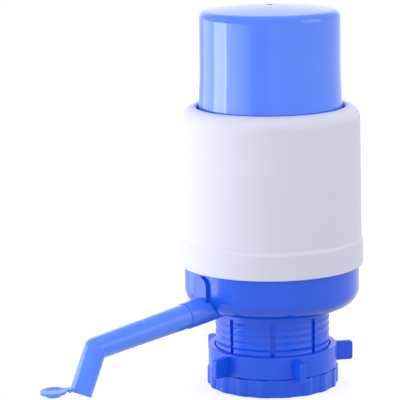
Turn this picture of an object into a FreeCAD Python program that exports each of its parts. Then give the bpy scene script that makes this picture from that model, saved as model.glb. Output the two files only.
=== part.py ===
import FreeCAD, Part

import math
import os

from FreeCAD import Vector

# Hand pump for a large water bottle.  Millimetres, +Z up.
# The origin is the centre of the collet's mouth, in the plane that the pump stands on.
# The spout points along -X.  The pump is round about the Z axis apart from the spout.

# ---- driving sizes -------------------------------------------------------------------

# neck collet: eight threaded fingers that grip a 55 mm bottle neck
GRIP_RADIUS = 27.9
GRIP_LENGTH = 22.0
RELIEF_DEPTH = 0.4
COLLET_HEIGHT = 43.0
COLLET_LIP = 1.4
COLLET_LIP_THICKNESS = 1.5
FINGER_WALL = 2.0
THREAD_DEPTH = 0.4
THREAD_CREST = 0.5
THREAD_FLANK = 1.2
THREAD_PITCH = 3.7
THREAD_FIRST = 2.9
SLOT_COUNT = 8
SLOT_PHASE = 6.5
SLOT_WIDTH_TOP = 2.8
SLOT_WIDTH_MOUTH = 1.4
SLOT_TOP_GAP = 0.2

# clamp ring and lock nut on the collet's thread
NUT_CLEARANCE = 0.45
RING_FOOT_GAP = 0.2
RING_HEIGHT = 9.3
RING_WALL = 3.15
LOBE_COUNT = 18
LOBE_PHASE = 3.0
LOBE_HEIGHT = 0.9
LOBE_CURVE_RADIUS = 6.0
NUT_RING_GAP = 0.2
NUT_HEIGHT = 11.9
NUT_WALL = 3.35
LUG_ANGLES = (39.5, 102.5, 187.0, 252.5, 334.5)
LUG_REACH = 9.7
LUG_THICKNESS = 3.2
LUG_HEIGHT = 10.3
LUG_RISE = 0.1
LUG_CORNER = 1.6
LUG_EDGE_ROUND = 0.5

# neck plate, which clamps the collet's lip against the base, and the bottle seal under it
NECK_PLATE_THICKNESS = 3.6
NECK_PLATE_CLEARANCE = 0.1
SEAL_THICKNESS = 3.0
SEAL_WIDTH = 7.0

# base cup
BASE_RADIUS = 46.2
BASE_WALL = 2.5
BASE_FLOOR = 2.5
BASE_BOTTOM_ROUND = 10.0
BASE_INNER_ROUND = 6.0
BASE_HEIGHT = 35.0
LEDGE_HEIGHT = 23.0
LEDGE_WIDTH = 2.0
SNAP_BEAD_HEIGHT = 0.5
SNAP_BEAD_LENGTH = 1.2
SNAP_BEAD_RISE = 6.6
SNAP_CLEARANCE = 0.15
AIR_HOLE_RADIUS = 2.4
AIR_HOLE_CIRCLE = 12.5
AIR_HOLE_ANGLES = (0.0, 90.0, 270.0)

# arched boss above the socket
ARCH_WIDTH = 10.5
ARCH_PROUD = 1.7
ARCH_TOP_GAP = 1.3

# sleeve, whose skirt fits over the base
SLEEVE_OVERLAP = 12.6
SLEEVE_BAND_WALL = 1.95
SLEEVE_BAND_HEIGHT = 13.2
SLEEVE_BAND_STEP = 0.85
SLEEVE_BAND_SLOPE = 1.6
SLEEVE_TAPER = 0.6
SLEEVE_HEIGHT = 83.8
SLEEVE_WALL = 2.2
SHOULDER_ROUND = 6.78
SHOULDER_FLAT = 0.02
LIP_ROUND = 1.1

# press cap, whose foot stands in the sleeve's mouth
CAP_MOUTH_GAP = 1.15
CAP_FLARE = 1.05
CAP_FLARE_HEIGHT = 17.0
CAP_HEIGHT_OVER_MOUTH = 49.8
CAP_DOME = 2.8
CAP_EDGE_ROUND = 4.0
CAP_WALL = 2.2
CAP_STOP_GAP = 0.4
SKIRT_CLEARANCE = 0.45
SKIRT_LENGTH = 14.1
CAP_RIB_COUNT = 8
CAP_RIB_THICKNESS = 1.6
VENT_RADIUS = 1.0
VENT_DISH_RADIUS = 1.9
VENT_DISH_DEPTH = 0.9

# bellows and what clamps it
PLATE_THICKNESS = 2.0
PLATE_CLEARANCE = 0.05
PLATE_RISE = 3.5
BELLOWS_FLANGE = 1.2
BELLOWS_FLANGE_WIDTH = 7.2
BELLOWS_FOLD_DEPTH = 6.5
BELLOWS_WALL = 1.9
BELLOWS_FOLDS = 7
BELLOWS_COLLAR = 4.5
CLAMP_THICKNESS = 2.0
CLAMP_INNER_GAP = 0.5
CLAMP_EDGE_GAP = 0.3

# deck between the bellows and the base cup
DECK_THICKNESS = 4.0
DECK_CLEARANCE = 0.1
DECK_GROOVE_WIDTH = 2.0
DECK_GROOVE_DEPTH = 1.9

# return spring, held on a collar round each valve
SPRING_WIRE = 1.8
SPRING_TURNS = 8
SPRING_GUIDE_WALL = 1.8
SPRING_GUIDE_GAP = 0.3
SPRING_GUIDE_HEIGHT = 4.0
SPRING_GUIDE_VALVE_GAP = 1.0

# disc valves
VALVE_RADIUS = 11.0
VALVE_THICKNESS = 1.0
VALVE_STEM_RADIUS = 1.9
VALVE_STEM_CLEARANCE = 0.08
VALVE_BULB_RADIUS = 3.0
VALVE_BULB_HEIGHT = 1.4
VALVE_LIFT = 1.2
VALVE_PORT_RADIUS = 1.7
VALVE_PORT_CIRCLE = 6.6
VALVE_PORT_COUNT = 6

# screws
SCREW_RADIUS = 1.45
SCREW_CLEARANCE = 0.15
SCREW_HEAD_RADIUS = 2.6
SCREW_HEAD_HEIGHT = 1.7
SCREW_BOSS_RADIUS = 3.0
CLAMP_SCREW_COUNT = 6
CLAMP_SCREW_PHASE = 30.0
CLAMP_SCREW_EDGE = 0.2
BASE_SCREW_LENGTH = 15.0
NECK_SCREW_SEAL_GAP = 1.6
NECK_SCREW_COUNT = 4
NECK_SCREW_PHASE = 45.0
NECK_SCREW_BITE = 6.0

# water elbow: dip-tube spigot, riser, and the pipe that the spout turns on
PIPE_RADIUS = 4.9
WATER_BORE = 3.0
PIPE_FLOOR_GAP = 2.3
SPOUT_FALL = 7.85
RISER_RADIUS = 5.0
RISER_CLEARANCE = 0.2
RISER_COLLAR_RADIUS = 8.0
RISER_COLLAR_HEIGHT = 1.5
SPIGOT_RADIUS = 4.0
SPIGOT_LENGTH = 14.0
SPIGOT_ROOT_DROP = 1.4
NIPPLE_LENGTH = 12.0
O_RING_SECTION = 0.57
O_RING_GROOVE_WIDTH = 1.4
O_RING_GAP = 0.02

# socket on the base, spout tube and its outlet
SOCKET_RADIUS = 7.0
SOCKET_REACH = 11.3
SOCKET_NECK_GAP = 0.3
PIPE_HOLE_CLEARANCE = 0.1
SPOUT_END_GAP = 0.15
SPOUT_ROOT_RADIUS = 6.55
SPOUT_TIP_RADIUS = 5.8
SPOUT_SOCKET_CLEARANCE = 0.07
SPOUT_SOCKET_EXTRA = 0.6
SPOUT_BORE = 4.45
SPOUT_RUN = 57.0
LEG_LENGTH = 24.0
LEG_ANGLE = 23.8

# nozzle cap and its hinge, beside the outlet
HINGE_FLANGE_GAP = 2.0
HINGE_DEPTH = 0.0
HINGE_PIN_RADIUS = 0.4
HINGE_CLEARANCE = 0.05
HINGE_BARREL_RADIUS = 0.8
HINGE_BARREL_LENGTH = 3.4
HINGE_EAR_WIDTH = 0.9
HINGE_EAR_DEPTH = 2.0
HINGE_EAR_THICKNESS = 0.9
HINGE_SIDE_GAP = 0.15
NOZZLE_OPEN_ANGLE = 154.0
NOZZLE_FLANGE_PROUD = 0.7
NOZZLE_FLANGE_THICKNESS = 1.4
NOZZLE_SEAT_GAP = 0.3
NOZZLE_PLUG_CLEARANCE = 0.15
NOZZLE_PLUG_LENGTH = 1.3
NOZZLE_PLUG_STRAIGHT = 0.6
NOZZLE_PLUG_TAPER = 0.6
NOZZLE_PLUG_WALL = 1.0
NOZZLE_RIM_WIDTH = 0.75
NOZZLE_DISH_SLOPE = 2.6
NOZZLE_DISH_DEPTH = 0.8
NOZZLE_STRAP_THICKNESS = 0.7

# ---- heights and radii that follow from them ------------------------------------------

FINGER_ROOT_RADIUS = GRIP_RADIUS + FINGER_WALL
THREAD_RADIUS = FINGER_ROOT_RADIUS + THREAD_DEPTH
RELIEF_RADIUS = GRIP_RADIUS + RELIEF_DEPTH
NECK_PLATE_UNDER = COLLET_HEIGHT - NECK_PLATE_THICKNESS
NECK_PLATE_RADIUS = RELIEF_RADIUS - NECK_PLATE_CLEARANCE
NUT_BORE = THREAD_RADIUS + NUT_CLEARANCE
RING_TOP = RING_FOOT_GAP + RING_HEIGHT
NUT_FOOT = RING_TOP + NUT_RING_GAP
NUT_TOP = NUT_FOOT + NUT_HEIGHT
NUT_RADIUS = NUT_BORE + NUT_WALL

FLOOR_TOP = COLLET_HEIGHT + BASE_FLOOR
BASE_BORE = BASE_RADIUS - BASE_WALL
LEDGE_TOP = COLLET_HEIGHT + LEDGE_HEIGHT
LEDGE_BORE = BASE_BORE - LEDGE_WIDTH
BASE_TOP = COLLET_HEIGHT + BASE_HEIGHT
SLEEVE_FOOT = BASE_TOP - SLEEVE_OVERLAP
SLEEVE_SKIRT_BORE = BASE_RADIUS + SNAP_CLEARANCE
SLEEVE_BAND_RADIUS = SLEEVE_SKIRT_BORE + SLEEVE_BAND_WALL
SLEEVE_BODY_RADIUS = SLEEVE_BAND_RADIUS - SLEEVE_BAND_STEP
SLEEVE_TOP_RADIUS = SLEEVE_BODY_RADIUS - SLEEVE_TAPER
MOUTH_RADIUS = SLEEVE_TOP_RADIUS - SHOULDER_ROUND - SHOULDER_FLAT - LIP_ROUND
BEAD_FOOT = SLEEVE_FOOT + SNAP_BEAD_RISE
BAND_TOP = SLEEVE_FOOT + SLEEVE_BAND_HEIGHT
SLEEVE_TOP = SLEEVE_FOOT + SLEEVE_HEIGHT
LIP_UNDER = SLEEVE_TOP - SLEEVE_WALL
SLEEVE_TOP_BORE = SLEEVE_TOP_RADIUS - SLEEVE_WALL
SHOULDER_INNER_ROUND = SHOULDER_ROUND - SLEEVE_WALL

CAP_FOOT_RADIUS = MOUTH_RADIUS - CAP_MOUTH_GAP
CAP_RADIUS = CAP_FOOT_RADIUS - CAP_FLARE
SKIRT_RADIUS = SLEEVE_TOP_BORE - SKIRT_CLEARANCE
SKIRT_BORE = SKIRT_RADIUS - CAP_WALL
FLARE_TOP = LIP_UNDER - CAP_STOP_GAP
SKIRT_FOOT = FLARE_TOP - SKIRT_LENGTH
CAP_RIM = SLEEVE_TOP + CAP_HEIGHT_OVER_MOUTH
CAP_CROWN = CAP_RIM + CAP_DOME

DECK_TOP = LEDGE_TOP + DECK_THICKNESS
DECK_RADIUS = BASE_BORE - DECK_CLEARANCE
PLATE_UNDER = SKIRT_FOOT + PLATE_RISE
PLATE_TOP = PLATE_UNDER + PLATE_THICKNESS
PLATE_RADIUS = SKIRT_BORE - PLATE_CLEARANCE
BOTTOM_FLANGE_RADIUS = BASE_BORE - CLAMP_EDGE_GAP
TOP_FLANGE_RADIUS = SKIRT_BORE - CLAMP_EDGE_GAP
BELLOWS_ROOT_RADIUS = TOP_FLANGE_RADIUS - BELLOWS_FLANGE_WIDTH
BELLOWS_CREST_RADIUS = BELLOWS_ROOT_RADIUS + BELLOWS_FOLD_DEPTH
CLAMP_BORE = BELLOWS_ROOT_RADIUS + CLAMP_INNER_GAP
TOP_SCREW_CIRCLE = TOP_FLANGE_RADIUS - SCREW_HEAD_RADIUS - CLAMP_SCREW_EDGE
BASE_SCREW_CIRCLE = LEDGE_BORE - SCREW_HEAD_RADIUS - CLAMP_SCREW_EDGE
SPRING_GUIDE_BORE = VALVE_RADIUS + SPRING_GUIDE_VALVE_GAP
SPRING_GUIDE_RADIUS = SPRING_GUIDE_BORE + SPRING_GUIDE_WALL
SPRING_RADIUS = SPRING_GUIDE_RADIUS + SPRING_GUIDE_GAP + SPRING_WIRE / 2

SEAL_BORE = NECK_PLATE_RADIUS - SEAL_WIDTH
NECK_SCREW_CIRCLE = SEAL_BORE - NECK_SCREW_SEAL_GAP - SCREW_HEAD_RADIUS
PIPE_AXIS_HEIGHT = FLOOR_TOP + PIPE_FLOOR_GAP + PIPE_RADIUS
SPIGOT_ROOT_HEIGHT = NECK_PLATE_UNDER - SPIGOT_ROOT_DROP
SPIGOT_END_HEIGHT = SPIGOT_ROOT_HEIGHT - SPIGOT_LENGTH
SOCKET_END = BASE_RADIUS + SOCKET_REACH
NOZZLE_FLANGE_RADIUS = SPOUT_TIP_RADIUS + NOZZLE_FLANGE_PROUD
HINGE_OFFSET = NOZZLE_FLANGE_RADIUS + HINGE_FLANGE_GAP

SPOUT_DOWN = math.radians(SPOUT_FALL)
SPOUT_DIRECTION = Vector(-math.cos(SPOUT_DOWN), 0, -math.sin(SPOUT_DOWN))
PIPE_START = Vector(0, 0, PIPE_AXIS_HEIGHT)
LEG_SLOPE = math.radians(LEG_ANGLE)
LEG_DIRECTION = Vector(-math.sin(LEG_SLOPE), 0, -math.cos(LEG_SLOPE))
OUTLET_SIDE = Vector(-math.cos(LEG_SLOPE), 0, math.sin(LEG_SLOPE))

Z_AXIS = Vector(0, 0, 1)
Y_AXIS = Vector(0, 1, 0)
ORIGIN = Vector(0, 0, 0)


# ---- helpers --------------------------------------------------------------------------

def rounded_wire(corners):
    """A closed wire through corners (point, radius); each corner is rounded to its radius."""
    edges = []
    spans = []
    count = len(corners)
    for i, (point, radius) in enumerate(corners):
        if radius <= 0:
            spans.append((point, point, None))
            continue
        to_last = (corners[i - 1][0] - point).normalize()
        to_next = (corners[(i + 1) % count][0] - point).normalize()
        half = to_last.getAngle(to_next) / 2
        middle = (to_last + to_next).normalize()
        centre = point + middle * (radius / math.sin(half))
        reach = radius / math.tan(half)
        spans.append((point + to_last * reach, point + to_next * reach, centre - middle * radius))
    for i, (start, end, crown) in enumerate(spans):
        if crown is not None:
            edges.append(Part.Arc(start, crown, end).toShape())
        following = spans[(i + 1) % count][0]
        if end.distanceToPoint(following) > 1e-6:
            edges.append(Part.LineSegment(end, following).toShape())
    return Part.Wire(edges)


def turned(corners):
    """A solid of revolution about Z from corners (radius, height) or (radius, height, rounding)."""
    points = [(Vector(c[0], 0, c[1]), c[2] if len(c) > 2 else 0) for c in corners]
    return Part.Face(rounded_wire(points)).revolve(ORIGIN, Z_AXIS, 360)


def ring(inner, outer, low, high):
    """A plain ring, or a disc where inner is 0."""
    solid = Part.makeCylinder(outer, high - low, Vector(0, 0, low))
    if inner > 0:
        solid = solid.cut(Part.makeCylinder(inner, high - low, Vector(0, 0, low)))
    return solid


def rod(radius, start, direction, length):
    return Part.makeCylinder(radius, length, start, direction)


def torus(major, minor, centre, direction):
    return Part.makeTorus(major, minor, centre, direction)


def spun(shape, degrees):
    """A copy of shape turned about the Z axis."""
    copy = shape.copy()
    copy.rotate(ORIGIN, Z_AXIS, degrees)
    return copy


def around(shape, count, phase):
    """Copies of shape, drawn on +X, spread evenly about the Z axis."""
    return [spun(shape, phase + 360.0 * i / count) for i in range(count)]


def on_circle(radius, circle, low, high, count, phase):
    """Upright rods on a circle."""
    one = Part.makeCylinder(radius, high - low, Vector(circle, 0, low))
    return around(one, count, phase)


def plate_outline(corners, thickness):
    """A flat plate in the XZ plane, centred on Y = 0, from corners (x, z, rounding)."""
    points = [(Vector(c[0], -thickness / 2, c[1]), c[2]) for c in corners]
    return Part.Face(rounded_wire(points)).extrude(Vector(0, thickness, 0))


def along_spout(distance):
    """The point on the spout's axis at this distance from the Z axis, measured level."""
    return PIPE_START + SPOUT_DIRECTION * (distance / math.cos(SPOUT_DOWN))


# ---- plunger: cap, plate, intake valve -------------------------------------------------

def dome_corner(dome_radius, edge_radius, height):
    """The corner of a shallow dome, rounded over almost all of its flat middle."""
    slope = math.atan2(CAP_DOME, edge_radius - dome_radius)
    return (dome_radius, height, dome_radius / math.tan(slope / 2) * 0.98)


def press_cap():
    waist = SLEEVE_TOP + CAP_FLARE_HEIGHT
    dome_radius = (CAP_RADIUS - CAP_EDGE_ROUND) / 2
    outside = turned([
        (0, SKIRT_FOOT),
        (SKIRT_RADIUS, SKIRT_FOOT, 0.4),
        (SKIRT_RADIUS, FLARE_TOP, SHOULDER_INNER_ROUND),
        (CAP_FOOT_RADIUS, FLARE_TOP, 1.2),
        (CAP_RADIUS + 0.1, waist, 150),
        (CAP_RADIUS, CAP_RIM, CAP_EDGE_ROUND),
        dome_corner(dome_radius, CAP_RADIUS, CAP_CROWN),
        (0, CAP_CROWN),
    ])
    inside = turned([
        (0, SKIRT_FOOT - 1),
        (SKIRT_BORE, SKIRT_FOOT - 1),
        (SKIRT_BORE, FLARE_TOP - CAP_WALL, SHOULDER_INNER_ROUND - CAP_WALL / 2),
        (CAP_FOOT_RADIUS - CAP_WALL, FLARE_TOP - CAP_WALL, 0.6),
        (CAP_RADIUS - CAP_WALL, waist),
        (CAP_RADIUS - CAP_WALL, CAP_RIM - CAP_WALL, CAP_EDGE_ROUND - CAP_WALL),
        dome_corner(dome_radius, CAP_RADIUS - CAP_WALL, CAP_CROWN - CAP_WALL),
        (0, CAP_CROWN - CAP_WALL),
    ])
    shell = outside.cut(inside)
    rib_foot = PLATE_TOP
    rib_root = CAP_FOOT_RADIUS - CAP_WALL
    rib = Part.makeBox(SKIRT_BORE - rib_root + 0.8, CAP_RIB_THICKNESS, FLARE_TOP - 1 - rib_foot,
                       Vector(rib_root, -CAP_RIB_THICKNESS / 2, rib_foot))
    rib = rib.common(outside)
    shell = shell.fuse(around(rib, CAP_RIB_COUNT, 0))
    vent = rod(VENT_RADIUS, Vector(0, 0, CAP_RIM - 2 * CAP_WALL), Z_AXIS, 3 * CAP_WALL + CAP_DOME)
    dish = Part.makeCone(VENT_RADIUS, VENT_DISH_RADIUS, VENT_DISH_DEPTH,
                         Vector(0, 0, CAP_CROWN - VENT_DISH_DEPTH))
    return shell.cut([vent, dish]).removeSplitter()


def valve_ports(low, high):
    """Stem hole and ring of air ports that a disc valve covers."""
    stem = rod(VALVE_STEM_RADIUS + VALVE_STEM_CLEARANCE, Vector(0, 0, low), Z_AXIS, high - low)
    return [stem] + on_circle(VALVE_PORT_RADIUS, VALVE_PORT_CIRCLE, low, high, VALVE_PORT_COUNT, 0)


def disc_valve(seat_under, seat_top):
    """A soft disc below its seat, on a stem that ends in a bulb above the seat."""
    bulb = seat_top + VALVE_LIFT
    return turned([
        (0, seat_under - VALVE_THICKNESS),
        (VALVE_RADIUS, seat_under - VALVE_THICKNESS, 0.3),
        (VALVE_RADIUS, seat_under),
        (VALVE_STEM_RADIUS, seat_under),
        (VALVE_STEM_RADIUS, bulb),
        (VALVE_BULB_RADIUS, bulb, 0.3),
        (VALVE_STEM_RADIUS, bulb + VALVE_BULB_HEIGHT, 0.3),
        (0, bulb + VALVE_BULB_HEIGHT),
    ])


def spring_guide(seat, height):
    """A short collar inside the end of the return spring."""
    low, high = sorted((seat, seat + height))
    return ring(SPRING_GUIDE_BORE, SPRING_GUIDE_RADIUS, low, high)


def bellows_top_plate():
    plate = ring(0, PLATE_RADIUS, PLATE_UNDER, PLATE_TOP)
    plate = plate.fuse(spring_guide(PLATE_UNDER, -SPRING_GUIDE_HEIGHT))
    pilots = on_circle(SCREW_RADIUS, TOP_SCREW_CIRCLE, PLATE_UNDER, PLATE_TOP,
                       CLAMP_SCREW_COUNT, CLAMP_SCREW_PHASE)
    return plate.cut(valve_ports(PLATE_UNDER, PLATE_TOP) + pilots)


# ---- bellows, clamp rings, spring ------------------------------------------------------

def bellows():
    """Folded tube with a flange at each end."""
    low = DECK_TOP
    high = PLATE_UNDER
    first = low + BELLOWS_COLLAR
    fold = (high - BELLOWS_COLLAR - first) / BELLOWS_FOLDS
    root, crest = BELLOWS_ROOT_RADIUS, BELLOWS_CREST_RADIUS
    outer = [(BOTTOM_FLANGE_RADIUS, low), (BOTTOM_FLANGE_RADIUS, low + BELLOWS_FLANGE),
             (root, low + BELLOWS_FLANGE)]
    inner = [(root - BELLOWS_WALL, low)]
    for i in range(BELLOWS_FOLDS):
        start = first + fold * i
        outer += [(root, start, 0.5), (crest, start + fold / 2, 0.9)]
        inner += [(root - BELLOWS_WALL, start, 0.9), (crest - BELLOWS_WALL, start + fold / 2, 0.5)]
    last = first + fold * BELLOWS_FOLDS
    outer += [(root, last, 0.5), (root, high - BELLOWS_FLANGE),
              (TOP_FLANGE_RADIUS, high - BELLOWS_FLANGE), (TOP_FLANGE_RADIUS, high)]
    inner += [(root - BELLOWS_WALL, last, 0.9), (root - BELLOWS_WALL, high)]
    body = turned(outer + inner[::-1])
    hole = SCREW_RADIUS + SCREW_CLEARANCE
    low_holes = on_circle(hole, BASE_SCREW_CIRCLE, low, low + BELLOWS_FLANGE,
                          CLAMP_SCREW_COUNT, CLAMP_SCREW_PHASE)
    high_holes = on_circle(hole, TOP_SCREW_CIRCLE, high - BELLOWS_FLANGE, high,
                           CLAMP_SCREW_COUNT, CLAMP_SCREW_PHASE)
    return body.cut(low_holes + high_holes)


def clamp_plate_ring(outer, low, screw_circle):
    """Ring that presses one flange of the bellows against its seat."""
    body = ring(CLAMP_BORE, outer, low, low + CLAMP_THICKNESS)
    return body.cut(on_circle(SCREW_RADIUS + SCREW_CLEARANCE, screw_circle, low,
                              low + CLAMP_THICKNESS, CLAMP_SCREW_COUNT, CLAMP_SCREW_PHASE))


def screws(circle, seat, length, up, count, phase):
    """Pan-head screws on a circle.  The heads lie on seat; the shanks go up or down from it."""
    sign = 1 if up else -1
    low, high = sorted((seat, seat + sign * length))
    head_low, head_high = sorted((seat, seat - sign * SCREW_HEAD_HEIGHT))
    shank = Part.makeCylinder(SCREW_RADIUS, high - low, Vector(circle, 0, low))
    head = Part.makeCylinder(SCREW_HEAD_RADIUS, head_high - head_low, Vector(circle, 0, head_low))
    return Part.makeCompound(around(shank.fuse(head).removeSplitter(), count, phase))


def return_spring():
    wire = SPRING_WIRE / 2
    low = DECK_TOP + wire
    height = PLATE_UNDER - DECK_TOP - SPRING_WIRE
    helix = Part.makeHelix(height / SPRING_TURNS, height, SPRING_RADIUS)
    helix.translate(Vector(0, 0, low))
    section = Part.Wire(Part.makeCircle(wire, Vector(SPRING_RADIUS, 0, low), Y_AXIS))
    return Part.Wire(helix).makePipeShell([section], True, True)


# ---- sleeve and base -------------------------------------------------------------------

def sleeve():
    groove = SLEEVE_SKIRT_BORE + SNAP_BEAD_HEIGHT + 0.1
    slope = SNAP_BEAD_HEIGHT + 0.1
    bead_top = BEAD_FOOT + SNAP_BEAD_LENGTH
    return turned([
        (SLEEVE_SKIRT_BORE, SLEEVE_FOOT, 0.3),
        (SLEEVE_BAND_RADIUS, SLEEVE_FOOT, 0.7),
        (SLEEVE_BAND_RADIUS, BAND_TOP, 0.5),
        (SLEEVE_BODY_RADIUS, BAND_TOP + SLEEVE_BAND_SLOPE, 0.5),
        (SLEEVE_TOP_RADIUS, SLEEVE_TOP, SHOULDER_ROUND),
        (MOUTH_RADIUS, SLEEVE_TOP, LIP_ROUND),
        (MOUTH_RADIUS, LIP_UNDER, 0.4),
        (SLEEVE_TOP_BORE, LIP_UNDER, SHOULDER_INNER_ROUND),
        (SLEEVE_BODY_RADIUS - SLEEVE_WALL, BASE_TOP + 1.6),
        (SLEEVE_SKIRT_BORE, BASE_TOP + 0.4),
        (SLEEVE_SKIRT_BORE, bead_top + slope + 0.1),
        (groove, bead_top + 0.1),
        (groove, BEAD_FOOT - 0.1),
        (SLEEVE_SKIRT_BORE, BEAD_FOOT - slope - 0.1),
    ])


def air_holes(low, high):
    """Holes that let air from the cup into the bottle; there is none under the slanting pipe."""
    one = Part.makeCylinder(AIR_HOLE_RADIUS, high - low, Vector(AIR_HOLE_CIRCLE, 0, low))
    return [spun(one, angle) for angle in AIR_HOLE_ANGLES]


def arch_boss():
    """Raised arch on the cup's wall, from the socket up to the sleeve's foot."""
    top = SLEEVE_FOOT - ARCH_TOP_GAP
    half = ARCH_WIDTH / 2
    corners = [
        (Vector(0, -half, COLLET_HEIGHT + BASE_BOTTOM_ROUND / 2), 0),
        (Vector(0, half, COLLET_HEIGHT + BASE_BOTTOM_ROUND / 2), 0),
        (Vector(0, half * 0.94, top), half * 0.93),
        (Vector(0, -half * 0.94, top), half * 0.93),
    ]
    face = Part.Face(rounded_wire(corners))
    face.translate(Vector(-BASE_RADIUS - ARCH_PROUD, 0, 0))
    return face.extrude(Vector(ARCH_PROUD + BASE_WALL * 0.8, 0, 0))


def cup_outline(inner_corners):
    """The base cup's outer surface as a turned solid, closed inside by inner_corners."""
    bead = BASE_RADIUS + SNAP_BEAD_HEIGHT
    bead_top = BEAD_FOOT + SNAP_BEAD_LENGTH
    return turned([
        (0, COLLET_HEIGHT),
        (BASE_RADIUS, COLLET_HEIGHT, BASE_BOTTOM_ROUND),
        (BASE_RADIUS, BEAD_FOOT - SNAP_BEAD_HEIGHT),
        (bead, BEAD_FOOT),
        (bead, bead_top),
        (BASE_RADIUS, bead_top + SNAP_BEAD_HEIGHT),
        (BASE_RADIUS, BASE_TOP, 0.6),
    ] + inner_corners)


def pipe_hole():
    """Cutter for the hole that the slanting pipe passes through."""
    return rod(PIPE_RADIUS + PIPE_HOLE_CLEARANCE, PIPE_START, SPOUT_DIRECTION,
               SOCKET_END / math.cos(SPOUT_DOWN) + 1)


def base_cup():
    cup = cup_outline([(BASE_BORE, BASE_TOP, 0.6), (BASE_BORE, LEDGE_TOP), (LEDGE_BORE, LEDGE_TOP),
                       (LEDGE_BORE, FLOOR_TOP, BASE_INNER_ROUND), (0, FLOOR_TOP)])
    boss_foot = FLOOR_TOP + BASE_INNER_ROUND
    deck_bosses = on_circle(SCREW_BOSS_RADIUS, BASE_SCREW_CIRCLE, boss_foot, LEDGE_TOP,
                            CLAMP_SCREW_COUNT, CLAMP_SCREW_PHASE)
    neck_bosses = on_circle(SCREW_BOSS_RADIUS, NECK_SCREW_CIRCLE, COLLET_HEIGHT,
                            FLOOR_TOP + NECK_SCREW_BITE, NECK_SCREW_COUNT, NECK_SCREW_PHASE)
    cup = cup.fuse([arch_boss()] + deck_bosses + neck_bosses).removeSplitter()
    riser_hole = ring(0, RISER_RADIUS + RISER_CLEARANCE, COLLET_HEIGHT, FLOOR_TOP)
    deck_pilots = on_circle(SCREW_RADIUS, BASE_SCREW_CIRCLE, boss_foot + 2, LEDGE_TOP,
                            CLAMP_SCREW_COUNT, CLAMP_SCREW_PHASE)
    neck_pilots = on_circle(SCREW_RADIUS, NECK_SCREW_CIRCLE, COLLET_HEIGHT,
                            FLOOR_TOP + NECK_SCREW_BITE - 1.5, NECK_SCREW_COUNT, NECK_SCREW_PHASE)
    cuts = [pipe_hole(), riser_hole] + air_holes(COLLET_HEIGHT, FLOOR_TOP) + deck_pilots + neck_pilots
    return cup.cut(cuts)


def spout_socket():
    """Short tube round the pipe, welded to the cup's rounded edge and underside."""
    length = (SOCKET_END - THREAD_RADIUS) / math.cos(SPOUT_DOWN)
    tube = rod(SOCKET_RADIUS, along_spout(THREAD_RADIUS), SPOUT_DIRECTION, length)
    neck = ring(0, THREAD_RADIUS + SOCKET_NECK_GAP, 0, COLLET_HEIGHT)
    return tube.cut([cup_outline([(0, BASE_TOP)]), arch_boss(), neck, pipe_hole()])


def base_deck():
    """Plate that closes the cup, carries the bellows and holds the air valve."""
    middle = (LEDGE_TOP + DECK_TOP) / 2
    groove = ring(DECK_RADIUS - DECK_GROOVE_DEPTH, DECK_RADIUS + 1,
                  middle - DECK_GROOVE_WIDTH / 2, middle + DECK_GROOVE_WIDTH / 2)
    deck = ring(0, DECK_RADIUS, LEDGE_TOP, DECK_TOP).cut(groove)
    deck = deck.fuse(spring_guide(DECK_TOP, SPRING_GUIDE_HEIGHT))
    holes = on_circle(SCREW_RADIUS + SCREW_CLEARANCE, BASE_SCREW_CIRCLE, LEDGE_TOP, DECK_TOP,
                      CLAMP_SCREW_COUNT, CLAMP_SCREW_PHASE)
    return deck.cut(holes + valve_ports(LEDGE_TOP, DECK_TOP))


def deck_seal():
    """O-ring between the deck's edge and the cup's wall."""
    inner = DECK_RADIUS - DECK_GROOVE_DEPTH
    section = (BASE_BORE - inner) / 2 - O_RING_GAP
    return torus((BASE_BORE + inner) / 2, section, Vector(0, 0, (LEDGE_TOP + DECK_TOP) / 2), Z_AXIS)


# ---- bottle connection -----------------------------------------------------------------

def neck_collet():
    """Threaded tube slit into fingers, with an inward lip at its top."""
    lip_under = COLLET_HEIGHT - COLLET_LIP_THICKNESS
    corners = [(RELIEF_RADIUS - COLLET_LIP, COLLET_HEIGHT), (RELIEF_RADIUS - COLLET_LIP, lip_under),
               (RELIEF_RADIUS, lip_under), (RELIEF_RADIUS, GRIP_LENGTH), (GRIP_RADIUS, GRIP_LENGTH),
               (GRIP_RADIUS, 0), (FINGER_ROOT_RADIUS, 0, 0.4)]
    crest = THREAD_CREST / 2
    foot = crest + THREAD_FLANK
    height = THREAD_FIRST
    while height + foot < NECK_PLATE_UNDER:
        corners += [(FINGER_ROOT_RADIUS, height - foot), (THREAD_RADIUS, height - crest),
                    (THREAD_RADIUS, height + crest), (FINGER_ROOT_RADIUS, height + foot)]
        height += THREAD_PITCH
    corners.append((FINGER_ROOT_RADIUS, COLLET_HEIGHT))
    body = turned(corners)
    slot_top = NECK_PLATE_UNDER - SLOT_TOP_GAP
    inside = GRIP_RADIUS - 1
    slot_points = [Vector(inside, -SLOT_WIDTH_MOUTH / 2, 0), Vector(inside, SLOT_WIDTH_MOUTH / 2, 0),
                   Vector(inside, SLOT_WIDTH_TOP / 2, slot_top), Vector(inside, -SLOT_WIDTH_TOP / 2, slot_top)]
    slot = Part.Face(Part.makePolygon(slot_points + slot_points[:1])).extrude(Vector(FINGER_WALL + 3, 0, 0))
    return body.cut(around(slot, SLOT_COUNT, SLOT_PHASE))


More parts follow.
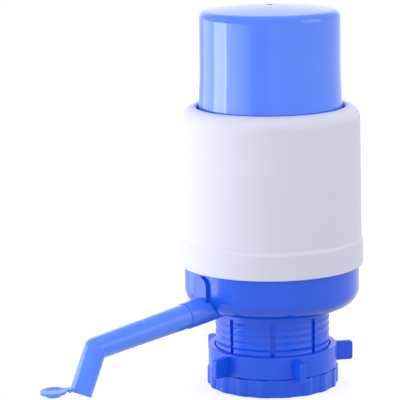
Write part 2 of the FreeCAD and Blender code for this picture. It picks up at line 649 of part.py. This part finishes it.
def neck_plate():
    """Disc screwed up into the base; its rebated edge clamps the collet's lip."""
    lip_under = COLLET_HEIGHT - COLLET_LIP_THICKNESS
    inner = NECK_PLATE_RADIUS - COLLET_LIP
    body = turned([(0, NECK_PLATE_UNDER), (NECK_PLATE_RADIUS, NECK_PLATE_UNDER),
                   (NECK_PLATE_RADIUS, lip_under), (inner, lip_under), (inner, COLLET_HEIGHT),
                   (0, COLLET_HEIGHT)])
    riser_hole = ring(0, RISER_RADIUS + RISER_CLEARANCE, NECK_PLATE_UNDER, COLLET_HEIGHT)
    screw_holes = on_circle(SCREW_RADIUS + SCREW_CLEARANCE, NECK_SCREW_CIRCLE, NECK_PLATE_UNDER,
                            COLLET_HEIGHT, NECK_SCREW_COUNT, NECK_SCREW_PHASE)
    return body.cut([riser_hole] + screw_holes + air_holes(NECK_PLATE_UNDER, COLLET_HEIGHT))


def bottle_seal():
    low = NECK_PLATE_UNDER - SEAL_THICKNESS
    return ring(SEAL_BORE, NECK_PLATE_RADIUS, low, NECK_PLATE_UNDER)


def scalloped_disc(base_radius, low, high):
    """A disc whose edge has evenly spaced rounded lobes."""
    centre = base_radius + LOBE_HEIGHT - LOBE_CURVE_RADIUS
    cosine = (centre ** 2 + base_radius ** 2 - LOBE_CURVE_RADIUS ** 2) / (2 * centre * base_radius)
    half = math.acos(cosine)
    step = 2 * math.pi / LOBE_COUNT
    edges = []

    def rim(radius, angle):
        return Vector(radius * math.cos(angle), radius * math.sin(angle), low)

    for i in range(LOBE_COUNT):
        angle = math.radians(LOBE_PHASE) + step * i
        start, end = rim(base_radius, angle - half), rim(base_radius, angle + half)
        edges.append(Part.Arc(start, rim(base_radius + LOBE_HEIGHT, angle), end).toShape())
        valley_end = rim(base_radius, angle + step - half)
        edges.append(Part.Arc(end, rim(base_radius, angle + step / 2), valley_end).toShape())
    return Part.Face(Part.Wire(edges)).extrude(Vector(0, 0, high - low))


def clamp_ring():
    """Lobed ring that slides on the fingers; the lock nut pushes it along."""
    base_radius = NUT_BORE + RING_WALL
    lobed = scalloped_disc(base_radius, RING_FOOT_GAP, RING_TOP)
    envelope = turned([(NUT_BORE, RING_FOOT_GAP), (base_radius + LOBE_HEIGHT + 0.01, RING_FOOT_GAP, 0.5),
                       (base_radius + LOBE_HEIGHT + 0.01, RING_TOP, 0.5), (NUT_BORE, RING_TOP)])
    return lobed.common(envelope)


def lock_nut():
    body = turned([(NUT_BORE, NUT_FOOT, 0.3), (NUT_RADIUS, NUT_FOOT, 0.3),
                   (NUT_RADIUS, NUT_TOP, 0.9), (NUT_BORE, NUT_TOP, 0.3)])
    low = NUT_FOOT + LUG_RISE
    root = NUT_RADIUS - 1
    lug = plate_outline([(root, low, 0), (NUT_RADIUS + LUG_REACH, low, LUG_CORNER),
                         (NUT_RADIUS + LUG_REACH, low + LUG_HEIGHT, LUG_CORNER),
                         (root, low + LUG_HEIGHT, 0)], LUG_THICKNESS)
    outer_edges = [edge for edge in lug.Edges
                   if edge.BoundBox.YLength < 1e-6 and edge.BoundBox.XMax > NUT_RADIUS]
    lug = lug.makeFillet(LUG_EDGE_ROUND, outer_edges)
    return body.fuse([spun(lug, angle) for angle in LUG_ANGLES]).removeSplitter()


# ---- water path ------------------------------------------------------------------------

def o_ring_groove(distance):
    """Cutter for a groove round the pipe, at this distance along the spout's axis."""
    start = along_spout(distance) - SPOUT_DIRECTION * (O_RING_GROOVE_WIDTH / 2)
    outer = rod(PIPE_RADIUS + 1, start, SPOUT_DIRECTION, O_RING_GROOVE_WIDTH)
    return outer.cut(rod(groove_floor(), start, SPOUT_DIRECTION, O_RING_GROOVE_WIDTH))


def groove_floor():
    return PIPE_RADIUS + SPOUT_SOCKET_CLEARANCE - 2 * (O_RING_SECTION + O_RING_GAP)


def pipe_o_ring(distance):
    """O-ring that lies in the groove at this distance along the spout's axis."""
    return torus(groove_floor() + O_RING_SECTION + O_RING_GAP, O_RING_SECTION,
                 along_spout(distance), SPOUT_DIRECTION)


SOCKET_GROOVE = SOCKET_END - NIPPLE_LENGTH / 2
SPOUT_GROOVE = SOCKET_END + NIPPLE_LENGTH / 2


def water_elbow():
    """Dip-tube spigot, riser and slanting pipe in one piece."""
    riser_top = PIPE_AXIS_HEIGHT + PIPE_RADIUS
    outside = turned([
        (0, SPIGOT_END_HEIGHT), (SPIGOT_RADIUS, SPIGOT_END_HEIGHT),
        (SPIGOT_RADIUS, SPIGOT_ROOT_HEIGHT), (RISER_RADIUS, SPIGOT_ROOT_HEIGHT),
        (RISER_RADIUS, FLOOR_TOP), (RISER_COLLAR_RADIUS, FLOOR_TOP),
        (RISER_COLLAR_RADIUS, FLOOR_TOP + RISER_COLLAR_HEIGHT),
        (RISER_RADIUS, FLOOR_TOP + RISER_COLLAR_HEIGHT), (RISER_RADIUS, riser_top, 2.0), (0, riser_top),
    ])
    pipe_length = SOCKET_END / math.cos(SPOUT_DOWN) + NIPPLE_LENGTH
    outside = outside.fuse(rod(PIPE_RADIUS, PIPE_START, SPOUT_DIRECTION, pipe_length)).removeSplitter()
    rise = rod(WATER_BORE, Vector(0, 0, SPIGOT_END_HEIGHT), Z_AXIS, PIPE_AXIS_HEIGHT - SPIGOT_END_HEIGHT)
    turn = Part.makeSphere(WATER_BORE, PIPE_START)
    run = rod(WATER_BORE, PIPE_START, SPOUT_DIRECTION, pipe_length)
    return outside.cut([rise.fuse([turn, run]), o_ring_groove(SOCKET_GROOVE), o_ring_groove(SPOUT_GROOVE)])


SPOUT_START = along_spout(SOCKET_END) + SPOUT_DIRECTION * SPOUT_END_GAP
BEND = SPOUT_START + SPOUT_DIRECTION * SPOUT_RUN
OUTLET = BEND + LEG_DIRECTION * LEG_LENGTH
HINGE = OUTLET + OUTLET_SIDE * HINGE_OFFSET + LEG_DIRECTION * HINGE_DEPTH


def outlet_point(side, depth):
    """A point beside the outlet: side is across it, away from the pump; depth is out of it."""
    return OUTLET + OUTLET_SIDE * side + LEG_DIRECTION * depth


def outlet_plate(corners, width):
    """A plate centred on Y = 0 from corners (side, depth, rounding) at the outlet."""
    points = [(outlet_point(c[0], c[1]) - Y_AXIS * (width / 2), c[2]) for c in corners]
    return Part.Face(rounded_wire(points)).extrude(Y_AXIS * width)


def hinge_rod(radius, width):
    return rod(radius, HINGE - Y_AXIS * (width / 2), Y_AXIS, width)


def spout_tube():
    """Tapered run, sharp bend and outlet leg, with the two ears of the cap's hinge."""
    run = Part.makeCone(SPOUT_ROOT_RADIUS, SPOUT_TIP_RADIUS, SPOUT_RUN, SPOUT_START, SPOUT_DIRECTION)
    elbow = Part.makeSphere(SPOUT_TIP_RADIUS, BEND)
    leg = rod(SPOUT_TIP_RADIUS, BEND, LEG_DIRECTION, LEG_LENGTH)
    gap_width = HINGE_BARREL_LENGTH + 2 * HINGE_SIDE_GAP
    full_width = gap_width + 2 * HINGE_EAR_WIDTH
    ear_root = SPOUT_TIP_RADIUS - 1.2
    ear_top = HINGE_DEPTH - HINGE_EAR_THICKNESS / 2
    ears = outlet_plate([(ear_root, -HINGE_EAR_DEPTH, 0), (ear_root, 0, 0),
                         (NOZZLE_FLANGE_RADIUS + 0.3, 0, 0), (HINGE_OFFSET, HINGE_DEPTH, 0),
                         (HINGE_OFFSET, ear_top - 0.2, 0)], full_width)
    ears = ears.fuse(hinge_rod(HINGE_BARREL_RADIUS, full_width))
    notch_root = HINGE_OFFSET - HINGE_BARREL_RADIUS - 0.4
    notch = outlet_plate([(notch_root, -3, 0), (notch_root, 4, 0),
                          (HINGE_OFFSET + 3, 4, 0), (HINGE_OFFSET + 3, -3, 0)], gap_width)
    ears = ears.cut(notch).fuse(hinge_rod(HINGE_PIN_RADIUS, full_width))
    outside = run.fuse([elbow, leg, ears]).removeSplitter()
    socket_length = NIPPLE_LENGTH + SPOUT_SOCKET_EXTRA
    socket = rod(PIPE_RADIUS + SPOUT_SOCKET_CLEARANCE, SPOUT_START, SPOUT_DIRECTION, socket_length)
    bore = rod(SPOUT_BORE, SPOUT_START, SPOUT_DIRECTION, SPOUT_RUN)
    turn = Part.makeSphere(SPOUT_BORE, BEND)
    drop = rod(SPOUT_BORE, BEND, LEG_DIRECTION, LEG_LENGTH)
    return outside.cut(bore.fuse([socket, turn, drop]))


def nozzle_cap():
    """Flanged plug on a strap, drawn shut on the outlet and then swung open about its hinge."""
    low, high = NOZZLE_SEAT_GAP, NOZZLE_SEAT_GAP + NOZZLE_FLANGE_THICKNESS
    plug = SPOUT_BORE - NOZZLE_PLUG_CLEARANCE
    flange = rod(NOZZLE_FLANGE_RADIUS, outlet_point(0, low), LEG_DIRECTION, NOZZLE_FLANGE_THICKNESS)
    stem = rod(plug, outlet_point(0, -NOZZLE_PLUG_STRAIGHT), LEG_DIRECTION, NOZZLE_PLUG_STRAIGHT + low)
    nose = Part.makeCone(plug - NOZZLE_PLUG_TAPER, plug, NOZZLE_PLUG_LENGTH - NOZZLE_PLUG_STRAIGHT,
                         outlet_point(0, -NOZZLE_PLUG_LENGTH), LEG_DIRECTION)
    strap = outlet_plate([(NOZZLE_FLANGE_RADIUS - 0.5, low, 0),
                          (NOZZLE_FLANGE_RADIUS - 0.5, low + NOZZLE_STRAP_THICKNESS, 0),
                          (HINGE_OFFSET, HINGE_DEPTH + NOZZLE_STRAP_THICKNESS, 0),
                          (HINGE_OFFSET, HINGE_DEPTH, 0)], HINGE_BARREL_LENGTH)
    barrel = hinge_rod(HINGE_BARREL_RADIUS, HINGE_BARREL_LENGTH)
    cap = flange.fuse([stem, nose, strap, barrel]).removeSplitter()
    hollow = rod(plug - NOZZLE_PLUG_TAPER - NOZZLE_PLUG_WALL, outlet_point(0, -NOZZLE_PLUG_LENGTH),
                 LEG_DIRECTION, NOZZLE_PLUG_LENGTH)
    dish_radius = NOZZLE_FLANGE_RADIUS - NOZZLE_RIM_WIDTH
    dish = Part.makeCone(dish_radius - NOZZLE_DISH_SLOPE, dish_radius, NOZZLE_DISH_DEPTH,
                         outlet_point(0, high - NOZZLE_DISH_DEPTH), LEG_DIRECTION)
    cap = cap.cut([hollow, dish, hinge_rod(HINGE_PIN_RADIUS + HINGE_CLEARANCE, HINGE_BARREL_LENGTH + 2)])
    cap.rotate(HINGE, Y_AXIS, NOZZLE_OPEN_ANGLE)
    return cap


# ---- all nodes -------------------------------------------------------------------------

NODES = {
    "press_cap": press_cap,
    "bellows_top_plate": bellows_top_plate,
    "intake_valve": lambda: disc_valve(PLATE_UNDER, PLATE_TOP),
    "top_clamp_ring": lambda: clamp_plate_ring(TOP_FLANGE_RADIUS, PLATE_UNDER - BELLOWS_FLANGE
                                               - CLAMP_THICKNESS, TOP_SCREW_CIRCLE),
    "top_ring_screws": lambda: screws(TOP_SCREW_CIRCLE, PLATE_UNDER - BELLOWS_FLANGE - CLAMP_THICKNESS,
                                      BELLOWS_FLANGE + CLAMP_THICKNESS + PLATE_THICKNESS, True,
                                      CLAMP_SCREW_COUNT, CLAMP_SCREW_PHASE),
    "bellows": bellows,
    "return_spring": return_spring,
    "bottom_clamp_ring": lambda: clamp_plate_ring(BOTTOM_FLANGE_RADIUS, DECK_TOP + BELLOWS_FLANGE,
                                                  BASE_SCREW_CIRCLE),
    "base_screws": lambda: screws(BASE_SCREW_CIRCLE, DECK_TOP + BELLOWS_FLANGE + CLAMP_THICKNESS,
                                  BASE_SCREW_LENGTH, False, CLAMP_SCREW_COUNT, CLAMP_SCREW_PHASE),
    "sleeve": sleeve,
    "base_deck": base_deck,
    "deck_seal": deck_seal,
    "air_valve": lambda: disc_valve(LEDGE_TOP, DECK_TOP),
    "base_cup": base_cup,
    "spout_socket": spout_socket,
    "neck_collet": neck_collet,
    "neck_plate": neck_plate,
    "neck_screws": lambda: screws(NECK_SCREW_CIRCLE, NECK_PLATE_UNDER, NECK_PLATE_THICKNESS + BASE_FLOOR
                                  + NECK_SCREW_BITE - 2, True, NECK_SCREW_COUNT, NECK_SCREW_PHASE),
    "bottle_seal": bottle_seal,
    "clamp_ring": clamp_ring,
    "lock_nut": lock_nut,
    "water_elbow": water_elbow,
    "elbow_o_ring": lambda: pipe_o_ring(SOCKET_GROOVE),
    "spout_o_ring": lambda: pipe_o_ring(SPOUT_GROOVE),
    "spout_tube": spout_tube,
    "nozzle_cap": nozzle_cap,
}


def main():
    os.makedirs("parts", exist_ok=True)
    for name, make in NODES.items():
        shape = make()
        box = shape.BoundBox
        print(f"{name}: {len(shape.Solids)} solids, valid {shape.isValid()}, volume {shape.Volume:.0f}, "
              f"x {box.XMin:.1f} {box.XMax:.1f}, y {box.YMin:.1f} {box.YMax:.1f}, "
              f"z {box.ZMin:.1f} {box.ZMax:.1f}")
        shape.exportStep(f"parts/{name}.step")


main()
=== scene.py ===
import math

import bpy
from mathutils import Matrix, Vector


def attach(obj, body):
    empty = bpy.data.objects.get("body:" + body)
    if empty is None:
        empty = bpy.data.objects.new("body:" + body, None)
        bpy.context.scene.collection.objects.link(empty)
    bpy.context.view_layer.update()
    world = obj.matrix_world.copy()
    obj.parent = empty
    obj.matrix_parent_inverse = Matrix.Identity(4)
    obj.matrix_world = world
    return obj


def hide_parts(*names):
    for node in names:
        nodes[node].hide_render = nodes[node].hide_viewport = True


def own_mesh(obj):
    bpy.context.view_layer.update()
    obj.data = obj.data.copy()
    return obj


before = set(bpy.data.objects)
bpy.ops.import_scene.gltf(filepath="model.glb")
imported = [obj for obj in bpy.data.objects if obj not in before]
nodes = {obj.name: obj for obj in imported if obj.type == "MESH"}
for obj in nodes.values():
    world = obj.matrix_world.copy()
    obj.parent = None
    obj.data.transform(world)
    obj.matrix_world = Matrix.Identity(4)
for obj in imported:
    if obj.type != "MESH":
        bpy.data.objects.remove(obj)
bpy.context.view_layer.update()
HEADING = math.radians(-37)    # the camera's turn about the pump, from the plane of the spout


# ---- camera ----------------------------------------------------------------------------

def make_camera():
    """Long lens, a little above the pump, 37 degrees round from the plane of its spout."""
    image, sensor, focal = 400, 36.0, 2400.0    # pixels, millimetres, pixels
    pitch, roll, distance = math.radians(10.88), math.radians(-0.81), 1.2624
    target, seen_at = Vector((0, 0, 0.0986)), (271.27, 200.0)    # a place, and its pixel
    turn = Matrix.Rotation(HEADING, 3, "Z")
    level = turn @ Vector((1, 0, 0))
    forward = turn @ Vector((0, math.cos(pitch), -math.sin(pitch)))
    rise = turn @ Vector((0, math.sin(pitch), math.cos(pitch)))
    right = level * math.cos(roll) + rise * math.sin(roll)
    up = rise * math.cos(roll) - level * math.sin(roll)
    across, down = [(pixel - image / 2) / focal for pixel in seen_at]
    ray = forward + right * across - up * down
    data = bpy.data.cameras.new("camera")
    data.sensor_width = sensor
    data.lens = focal / image * sensor
    data.clip_end = 20
    camera = bpy.data.objects.new("camera", data)
    axes = Matrix((right, up, -forward)).transposed().to_4x4()
    camera.matrix_world = Matrix.Translation(target - ray * distance) @ axes
    bpy.context.scene.collection.objects.link(camera)
    bpy.context.scene.camera = camera


make_camera()


# ---- materials -------------------------------------------------------------------------

NOISE_LOW, NOISE_HIGH = 0.3, 0.7    # the part of a noise's range that is used


def new_material(name, color, roughness):
    """A material with its shader node, ready for detail."""
    material = bpy.data.materials.new(name)
    material.use_nodes = True
    tree = material.node_tree
    shader = tree.nodes["Principled BSDF"]
    shader.inputs["Base Color"].default_value = (*color, 1)
    shader.inputs["Roughness"].default_value = roughness
    return material, tree, shader


def object_place(tree):
    return tree.nodes.new("ShaderNodeTexCoord").outputs["Object"]


def noise(tree, vector, scale, detail):
    node = tree.nodes.new("ShaderNodeTexNoise")
    node.inputs["Scale"].default_value = scale
    node.inputs["Detail"].default_value = detail
    tree.links.new(vector, node.inputs["Vector"])
    return node.outputs["Fac"]


def vary(tree, factor, socket, low, high):
    """Lets a noise drive a shader's socket between two values."""
    spread = tree.nodes.new("ShaderNodeMapRange")
    spread.inputs["From Min"].default_value = NOISE_LOW
    spread.inputs["From Max"].default_value = NOISE_HIGH
    spread.inputs["To Min"].default_value = low
    spread.inputs["To Max"].default_value = high
    tree.links.new(factor, spread.inputs["Value"])
    tree.links.new(spread.outputs["Result"], socket)


def tint(tree, factor, shader, color, spread):
    """Lets the base colour drift a little about its own value."""
    shade = tree.nodes.new("ShaderNodeValToRGB")
    low, high = shade.color_ramp.elements
    low.position, low.color = NOISE_LOW, (*[max(0, c * (1 - spread)) for c in color], 1)
    high.position, high.color = NOISE_HIGH, (*[min(1, c * (1 + spread)) for c in color], 1)
    tree.links.new(factor, shade.inputs["Fac"])
    tree.links.new(shade.outputs["Color"], shader.inputs["Base Color"])


def bumpy(tree, factor, shader, strength, depth):
    bump = tree.nodes.new("ShaderNodeBump")
    bump.inputs["Strength"].default_value = strength
    bump.inputs["Distance"].default_value = depth
    tree.links.new(factor, bump.inputs["Height"])
    tree.links.new(bump.outputs["Normal"], shader.inputs["Normal"])


def plastic(name, color, roughness, mottle=0.03, orange_peel=0.02, gloss=0.4, coat=0.0, coat_ior=1.5,
            polish=0.2):
    """Moulded plastic: faint colour drift, uneven gloss and a fine orange-peel surface."""
    material, tree, shader = new_material(name, color, roughness)
    place = object_place(tree)
    drift = noise(tree, place, scale=45, detail=3)
    tint(tree, drift, shader, color, mottle)
    vary(tree, drift, shader.inputs["Roughness"], roughness * 0.88, min(1, roughness * 1.12))
    bumpy(tree, noise(tree, place, scale=900, detail=2), shader, orange_peel, depth=0.0003)
    shader.inputs["Specular IOR Level"].default_value = gloss
    shader.inputs["Coat Weight"].default_value = coat
    shader.inputs["Coat Roughness"].default_value = polish
    shader.inputs["Coat IOR"].default_value = coat_ior
    return material


def metal(name, color, roughness):
    """Drawn or turned steel: fine streaks in its gloss and surface."""
    material, tree, shader = new_material(name, color, roughness)
    shader.inputs["Metallic"].default_value = 1
    stretch = tree.nodes.new("ShaderNodeMapping")
    stretch.inputs["Scale"].default_value = (1, 1, 14)
    tree.links.new(object_place(tree), stretch.inputs["Vector"])
    streaks = noise(tree, stretch.outputs["Vector"], scale=500, detail=4)
    tint(tree, streaks, shader, color, spread=0.06)
    vary(tree, streaks, shader.inputs["Roughness"], roughness * 0.7, roughness * 1.4)
    bumpy(tree, streaks, shader, strength=0.08, depth=0.0002)
    return material


cap_blue = plastic("cap_blue_plastic", (0.012, 0.165, 0.98), 0.5, gloss=0, coat=1,
                   coat_ior=1.92, polish=0.1)
body_blue = plastic("body_blue_plastic", (0.002, 0.095, 0.8), 0.45, gloss=0, coat=1, polish=0.15)
spout_blue = plastic("spout_blue_plastic", (0.06, 0.215, 0.97), 0.45, gloss=0, coat=1, coat_ior=1.6,
                     polish=0.14, orange_peel=0.01)
socket_blue = plastic("socket_blue_plastic", (0.06, 0.2, 0.97), 0.45, gloss=0, coat=1)
neck_blue = plastic("neck_blue_plastic", (0.004, 0.1, 0.84), 0.45, gloss=0, coat=1, polish=0.3)
# The bottle seal is given the collet's blue as painted glow: it stands in for light coming through the
# translucent blue collet, seen in its slots.
seal_painted_glow = plastic("seal_rubber_painted_glow", (0.03, 0.12, 0.7), 0.6, mottle=0.06, orange_peel=0.1)
shell_white = plastic("shell_white_plastic", (0.67, 0.685, 0.805), 0.45, gloss=0.12, mottle=0.008)
inner_white = plastic("inner_white_plastic", (0.7, 0.71, 0.76), 0.5, mottle=0.02)
bellows_white = plastic("bellows_white_plastic", (0.74, 0.75, 0.78), 0.45, mottle=0.03)
seal_rubber = plastic("seal_rubber", (0.42, 0.43, 0.46), 0.7, mottle=0.08, orange_peel=0.2)
valve_rubber = plastic("valve_rubber", (0.35, 0.07, 0.03), 0.6, mottle=0.1, orange_peel=0.15)
spring_steel = metal("spring_steel", (0.6, 0.61, 0.63), 0.28)
screw_steel = metal("screw_steel", (0.68, 0.69, 0.71), 0.22)

FINISHES = {
    cap_blue: ["press_cap"],
    body_blue: ["base_cup", "water_elbow", "neck_plate"],
    spout_blue: ["spout_tube", "nozzle_cap"],
    socket_blue: ["spout_socket"],
    neck_blue: ["neck_collet", "clamp_ring", "lock_nut"],
    shell_white: ["sleeve"],
    inner_white: ["bellows_top_plate", "base_deck"],
    # the bottle seal carries the painted slot glow
    seal_painted_glow: ["bottle_seal"],
    seal_rubber: ["deck_seal", "elbow_o_ring", "spout_o_ring"],
    valve_rubber: ["intake_valve", "air_valve"],
    spring_steel: ["top_clamp_ring", "bottom_clamp_ring"],
    screw_steel: ["top_ring_screws", "base_screws", "neck_screws"],
}
for material, names in FINISHES.items():
    for name in names:
        nodes[name].data.materials.clear()
        nodes[name].data.materials.append(material)


# ---- bellows and return spring, built at their full height ------------------------------

LOW, HIGH, STROKE = 0.070, 0.136, 0.042    # the faces that the two stand between, and the stroke
FLANGE, COLLAR, WALL = 0.0012, 0.0048, 0.0017
ROOT, CREST, FOLDS = 0.0345, 0.0410, 7     # the folds' least and greatest radius, and their count


def mesh_object(name, points, faces, material, sharp=35):
    """A smooth-shaded object whose edges stay sharp above an angle in degrees."""
    mesh = bpy.data.meshes.new(name)
    mesh.from_pydata(points, [], faces)
    mesh.materials.append(material)
    mesh.shade_smooth()
    mesh.set_sharp_from_angle(angle=math.radians(sharp))
    made = bpy.data.objects.new(name, mesh)
    bpy.context.scene.collection.objects.link(made)
    return made


def revolved(name, profile, material, segments=160):
    """A ring-shaped solid turned about Z from a closed loop of (radius, height)."""
    count = len(profile)
    points, faces = [], []
    for i in range(segments):
        angle = 2 * math.pi * i / segments
        points += [(r * math.cos(angle), r * math.sin(angle), z) for r, z in profile]
        here, there = i * count, (i + 1) % segments * count
        for j in range(count):
            k = (j + 1) % count
            faces.append((here + j, there + j, there + k, here + k))
    return mesh_object(name, points, faces, material)


def bellows_folds():
    """The folded wall between the two collars, with rounded crests and roots."""
    steps, low, high = 22, LOW + COLLAR, HIGH - COLLAR
    line = []
    for i in range(FOLDS * steps + 1):
        share = i / steps
        swing = (1 - math.cos(2 * math.pi * share)) / 2
        line.append((ROOT + (CREST - ROOT) * swing ** 0.85, low + (high - low) * share / FOLDS))
    inner = [(r - WALL, z) for r, z in reversed(line)]
    made = revolved("bellows_folds", line + inner, bellows_white)
    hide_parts("bellows")
    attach(made, "plunger")
    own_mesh(made)


def bellows_end(name, body, face, inward, outer):
    """A flat flange with a bead round its edge, and the stiff collar that the folds start from."""
    bead, seam = 0.0002, 0.00002
    profile = [(ROOT - WALL, 0), (outer - bead, 0), (outer, bead), (outer, FLANGE - bead),
               (outer - bead, FLANGE), (ROOT, FLANGE), (ROOT, COLLAR - seam), (ROOT - WALL, COLLAR - seam)]
    profile = [(r, face + inward * depth) for r, depth in profile][::inward]
    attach(revolved(name, profile, bellows_white), body)


def slot_glow_skin():
    """A thin skin in the collet's blue that closes the slots between its fingers, half way through their
    wall: painted glow, standing in for light coming through the translucent collet, seen in the slots.
    """
    inner, outer, low, high = 0.0285, 0.0287, 0.0006, 0.0390
    profile = [(inner, low), (outer, low), (outer, high), (inner, high)]
    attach(revolved("slot_glow_skin", profile, neck_blue), "base")


def coil_spring():
    """Eight turns of round wire; the last three quarters of a turn at each end lie flat."""
    radius, wire, turns, flat, steps, sides = 0.015, 0.0009, 8, 0.75, 48, 14
    low, high = LOW + wire, HIGH - wire
    points, faces, total = [], [], turns * steps
    for i in range(total + 1):
        turn = i / steps
        share = min(max((turn - flat) / (turns - 2 * flat), 0), 1)
        angle = 2 * math.pi * turn
        centre_z = low + (high - low) * share
        for j in range(sides):
            around = 2 * math.pi * j / sides
            reach = radius + wire * math.cos(around)
            points.append((reach * math.cos(angle), reach * math.sin(angle),
                           centre_z + wire * math.sin(around)))
        if i:
            for j in range(sides):
                k = (j + 1) % sides
                faces.append(((i - 1) * sides + j, (i - 1) * sides + k, i * sides + k, i * sides + j))
    faces.append(tuple(range(sides)))
    faces.append(tuple(total * sides + j for j in reversed(range(sides))))
    made = mesh_object("coil_spring", points, faces, spring_steel, sharp=60)
    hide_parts("return_spring")
    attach(made, "plunger")
    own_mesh(made)


bellows_folds()
bellows_end("bellows_foot", "base", LOW, 1, 0.0434)
bellows_end("bellows_head", "plunger", HIGH, -1, 0.0417)
coil_spring()
slot_glow_skin()


# ---- floor, backdrop and light ----------------------------------------------------------

def seen_directly(tree):
    """1 for what the camera, a reflection or clear plastic sees, and 0 for other light."""
    path = tree.nodes.new("ShaderNodeLightPath")
    seen = path.outputs["Is Camera Ray"]
    for output in ("Is Glossy Ray", "Is Transmission Ray"):
        both = tree.nodes.new("ShaderNodeMath")
        both.operation = "MAXIMUM"
        tree.links.new(seen, both.inputs[0])
        tree.links.new(path.outputs[output], both.inputs[1])
        seen = both.outputs[0]
    return seen


def scaled(tree, value, low, high):
    """Turns 0 to 1 into low to high."""
    spread = tree.nodes.new("ShaderNodeMapRange")
    spread.inputs["To Min"].default_value = low
    spread.inputs["To Max"].default_value = high
    tree.links.new(value, spread.inputs["Value"])
    return spread.outputs["Result"]


def from_camera(right, away, height):
    """A place given as metres to the right of the pump, away from the camera, and up."""
    return Matrix.Rotation(HEADING, 3, "Z") @ Vector((right, away, height))


def make_floor(reach=8.0, left_edge=-0.075, whitening=0.66):
    """A pale sheet that ends beside the pump, where the side light stands."""
    mesh = bpy.data.meshes.new("floor")
    corners = [(left_edge, -reach), (reach, -reach), (reach, reach), (left_edge, reach)]
    mesh.from_pydata([from_camera(right, away, 0) for right, away in corners], [], [(0, 1, 2, 3)])
    floor = bpy.data.objects.new("floor", mesh)
    bpy.context.scene.collection.objects.link(floor)
    material, tree, shader = new_material("floor_white", (0.45, 0.45, 0.45), roughness=0.9)
    shader.inputs["Specular IOR Level"].default_value = 0
    shader.inputs["Emission Color"].default_value = (1, 1, 1, 1)
    tree.links.new(scaled(tree, seen_directly(tree), 0, whitening), shader.inputs["Emission Strength"])
    mesh.materials.append(material)


def make_world(strength=1.05):
    """An even white surround that lights the pump at its strength and is seen at 1."""
    world = bpy.data.worlds.new("studio")
    world.use_nodes = True
    tree = world.node_tree
    background = tree.nodes["Background"]
    background.inputs["Color"].default_value = (1, 1, 1, 1)
    tree.links.new(scaled(tree, seen_directly(tree), strength, 1.0), background.inputs["Strength"])
    bpy.context.scene.world = world


def area_light(name, power, size, place, aim=(0, 0, 0.1), spread=180):
    """A rectangular lamp that faces its aim; spread is the width of its beam in degrees."""
    data = bpy.data.lights.new(name, "AREA")
    data.energy, data.spread = power, math.radians(spread)
    data.shape, data.size, data.size_y = "RECTANGLE", *size
    light = bpy.data.objects.new(name, data)
    light.location = place
    light.rotation_euler = (Vector(aim) - Vector(place)).to_track_quat("-Z", "Y").to_euler()
    bpy.context.scene.collection.objects.link(light)


make_world()
make_floor()
area_light("key_light", 0.8, (0.27, 0.3), from_camera(-0.55, -0.015, 0.04))
area_light("front_light", 0.2, (0.7, 0.22), from_camera(-0.514, -0.467, 0.05),
           aim=from_camera(0.464, -0.259, 0.05), spread=98)
area_light("rim_light", 0.45, (0.4, 0.3), from_camera(-0.585, 0.345, 0.04))
area_light("top_light", 0.5, (1.2, 1.2), from_camera(0, 0, 1.5))
area_light("back_light", 1.2, (1.2, 0.8), from_camera(0, 1.0, 0.5))
area_light("right_fill", 1.8, (0.8, 0.8), from_camera(1.2, -0.4, 0.5))
bpy.context.scene.view_settings.view_transform = "Standard"
